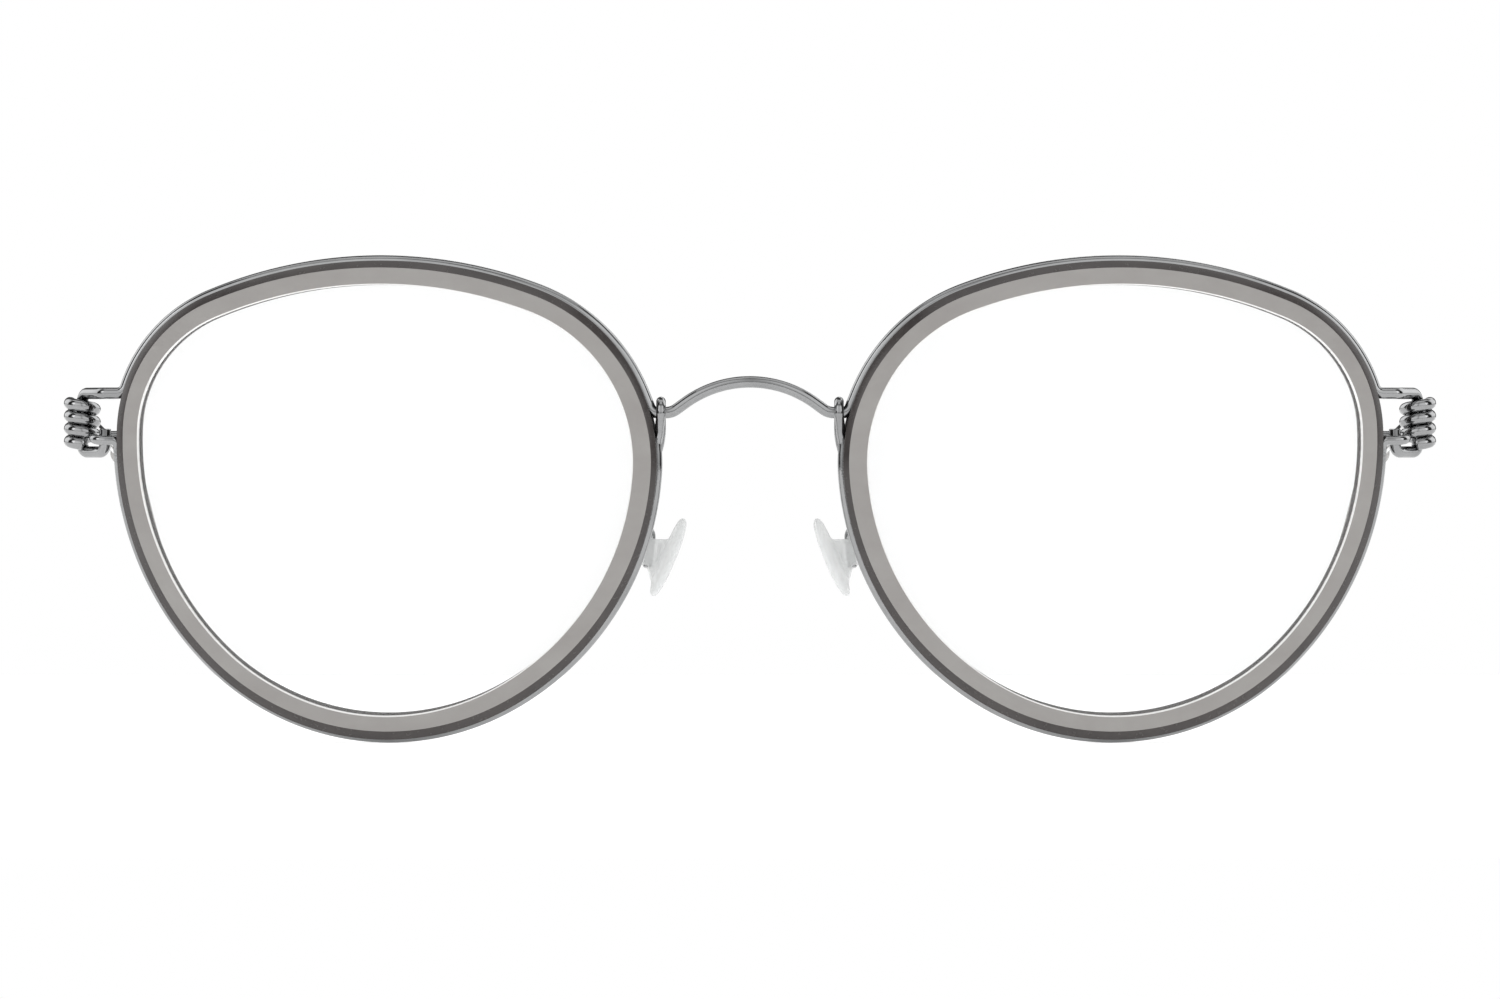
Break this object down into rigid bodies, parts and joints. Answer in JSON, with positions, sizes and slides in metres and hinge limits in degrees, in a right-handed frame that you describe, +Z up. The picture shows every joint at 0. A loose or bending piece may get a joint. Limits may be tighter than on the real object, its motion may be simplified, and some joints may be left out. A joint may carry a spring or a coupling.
{
  "type": "round wire eyeglasses",
  "caption": "Round spectacles bent from titanium wire, with grey acetate inner rims, clear lenses, silicone nose pads and temples coiled round screwless hinge pins.",
  "frame": {"origin": "middle of the base of the part's box, with the temples open", "axes": "+Z up, +Y from the front towards the ears, +X towards the wearer's left; the front faces -Y"},
  "size_m": [0.1302, 0.135, 0.0461],
  "materials": {
    "titanium_wire": "polished titanium wire",
    "acetate": "satin taupe-grey acetate",
    "lens": "clear, anti-reflection coated",
    "pad_silicone": "clear soft silicone",
    "sleeve_silicone": "matte grey silicone"
  },
  "bodies": {
    "front": {"top_wire": "titanium_wire", "lower_wire_right": "titanium_wire", "lower_wire_left": "titanium_wire", "inner_rim_right": "acetate", "inner_rim_left": "acetate", "lens_right": "lens", "lens_left": "lens"},
    "temple_right": {"temple_right": "titanium_wire", "ear_sleeve_right": "sleeve_silicone"},
    "temple_left": {"temple_left": "titanium_wire", "ear_sleeve_left": "sleeve_silicone"},
    "nose_pad_right": {"nose_pad_right": "pad_silicone"},
    "nose_pad_left": {"nose_pad_left": "pad_silicone"}
  },
  "joints": [
    {"name": "right_temple_fold", "type": "hinge", "parent": "front", "child": "temple_right", "pos_m": [-0.0633, -0.05642, 0.03026], "axis": [0, 0, -1], "range_deg": [0, 86]},
    {"name": "left_temple_fold", "type": "hinge", "parent": "front", "child": "temple_left", "pos_m": [0.0633, -0.05642, 0.03026], "axis": [0, 0, 1], "range_deg": [0, 80]},
    {"name": "right_pad_rock", "type": "hinge", "parent": "front", "child": "nose_pad_right", "pos_m": [-0.00955, -0.05777, 0.01798], "axis": [0.1023, 0.2036, 0.9737], "range_deg": [-8, 8]},
    {"name": "left_pad_rock", "type": "hinge", "parent": "front", "child": "nose_pad_left", "pos_m": [0.00955, -0.05777, 0.01798], "axis": [0.1023, -0.2036, -0.9737], "range_deg": [-8, 8]}
  ]
}
